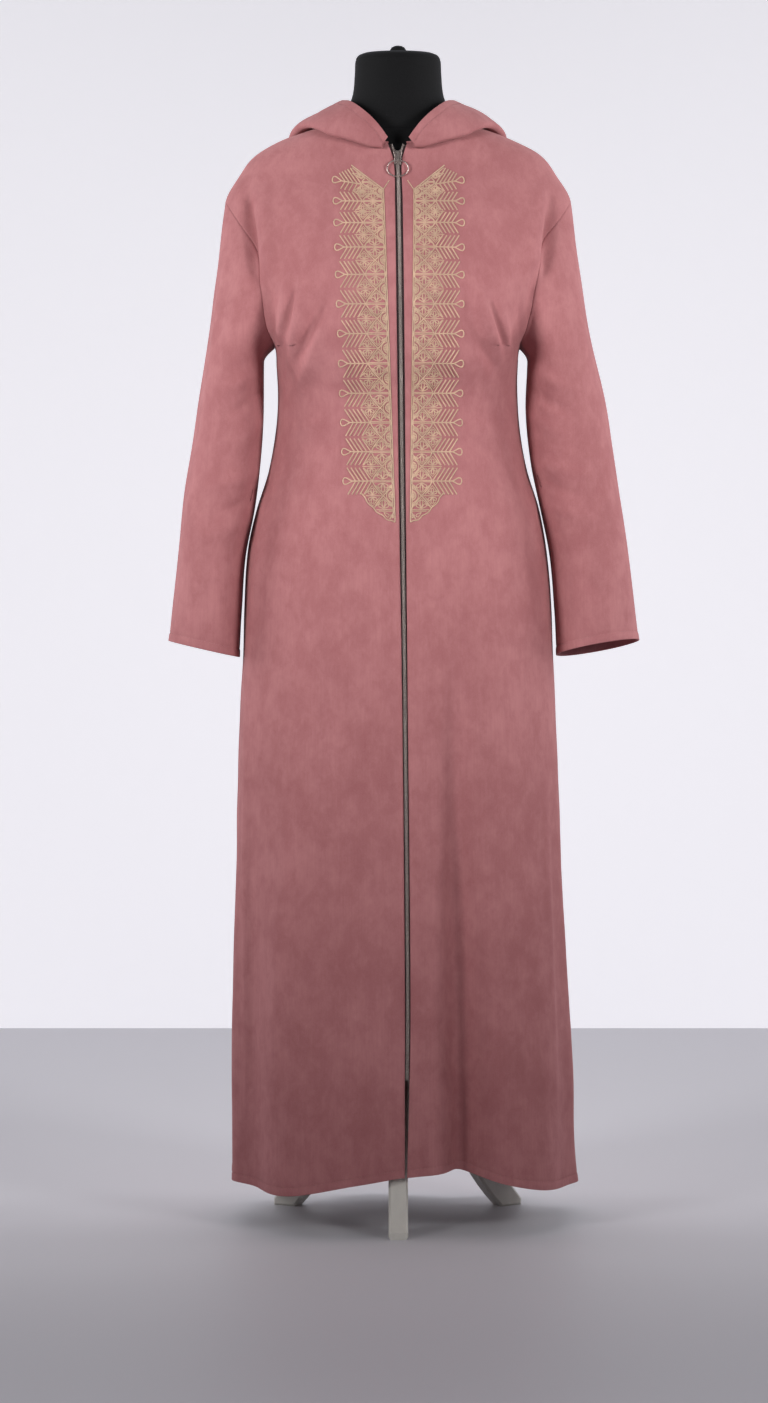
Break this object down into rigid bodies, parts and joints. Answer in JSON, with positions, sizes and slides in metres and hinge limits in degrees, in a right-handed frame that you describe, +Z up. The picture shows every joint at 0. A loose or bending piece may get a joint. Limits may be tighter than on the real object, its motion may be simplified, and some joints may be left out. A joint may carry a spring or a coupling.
{
  "type": "jebba on dress form",
  "caption": "Full-length hooded robe with a front zip and embroidered bands beside it, worn by a black dress form on a white tripod stand.",
  "frame": {"origin": "middle of the whole part's footprint, on the floor that the stand's feet rest on", "axes": "+Z up, -Y the way the robe's front faces, +X the wearer's left"},
  "size_m": [0.6398, 0.3815, 1.5947],
  "materials": {
    "suede": "brushed dusty-rose suede cloth",
    "thread": "twisted beige embroidery cord",
    "zip_tape": "woven tape",
    "zip_metal": "dull plated metal",
    "jersey": "black jersey cover",
    "paint": "white-painted wood"
  },
  "bodies": {
    "robe_on_form": {"front_left": "suede", "front_right": "suede", "back": "suede", "sleeve_left": "suede", "sleeve_right": "suede", "hood_left": "suede", "hood_right": "suede", "embroidery_left": "thread", "embroidery_right": "thread", "zip_tape_left": "zip_tape", "zip_tape_right": "zip_tape", "zip_coil": "zip_metal", "zip_slider": "zip_metal", "form_torso": "jersey", "form_knob": "jersey", "pole": "paint", "hub": "paint", "leg_front": "paint", "leg_left": "paint", "leg_right": "paint"},
    "pull_ring": {"zip_pull_ring": "zip_metal"}
  },
  "joints": [
    {"name": "ring_hinge", "type": "hinge", "parent": "robe_on_form", "child": "pull_ring", "pos_m": [-0.0087, -0.07369, 1.43428], "axis": [-1, 0, 0], "range_deg": [0, 140]}
  ]
}
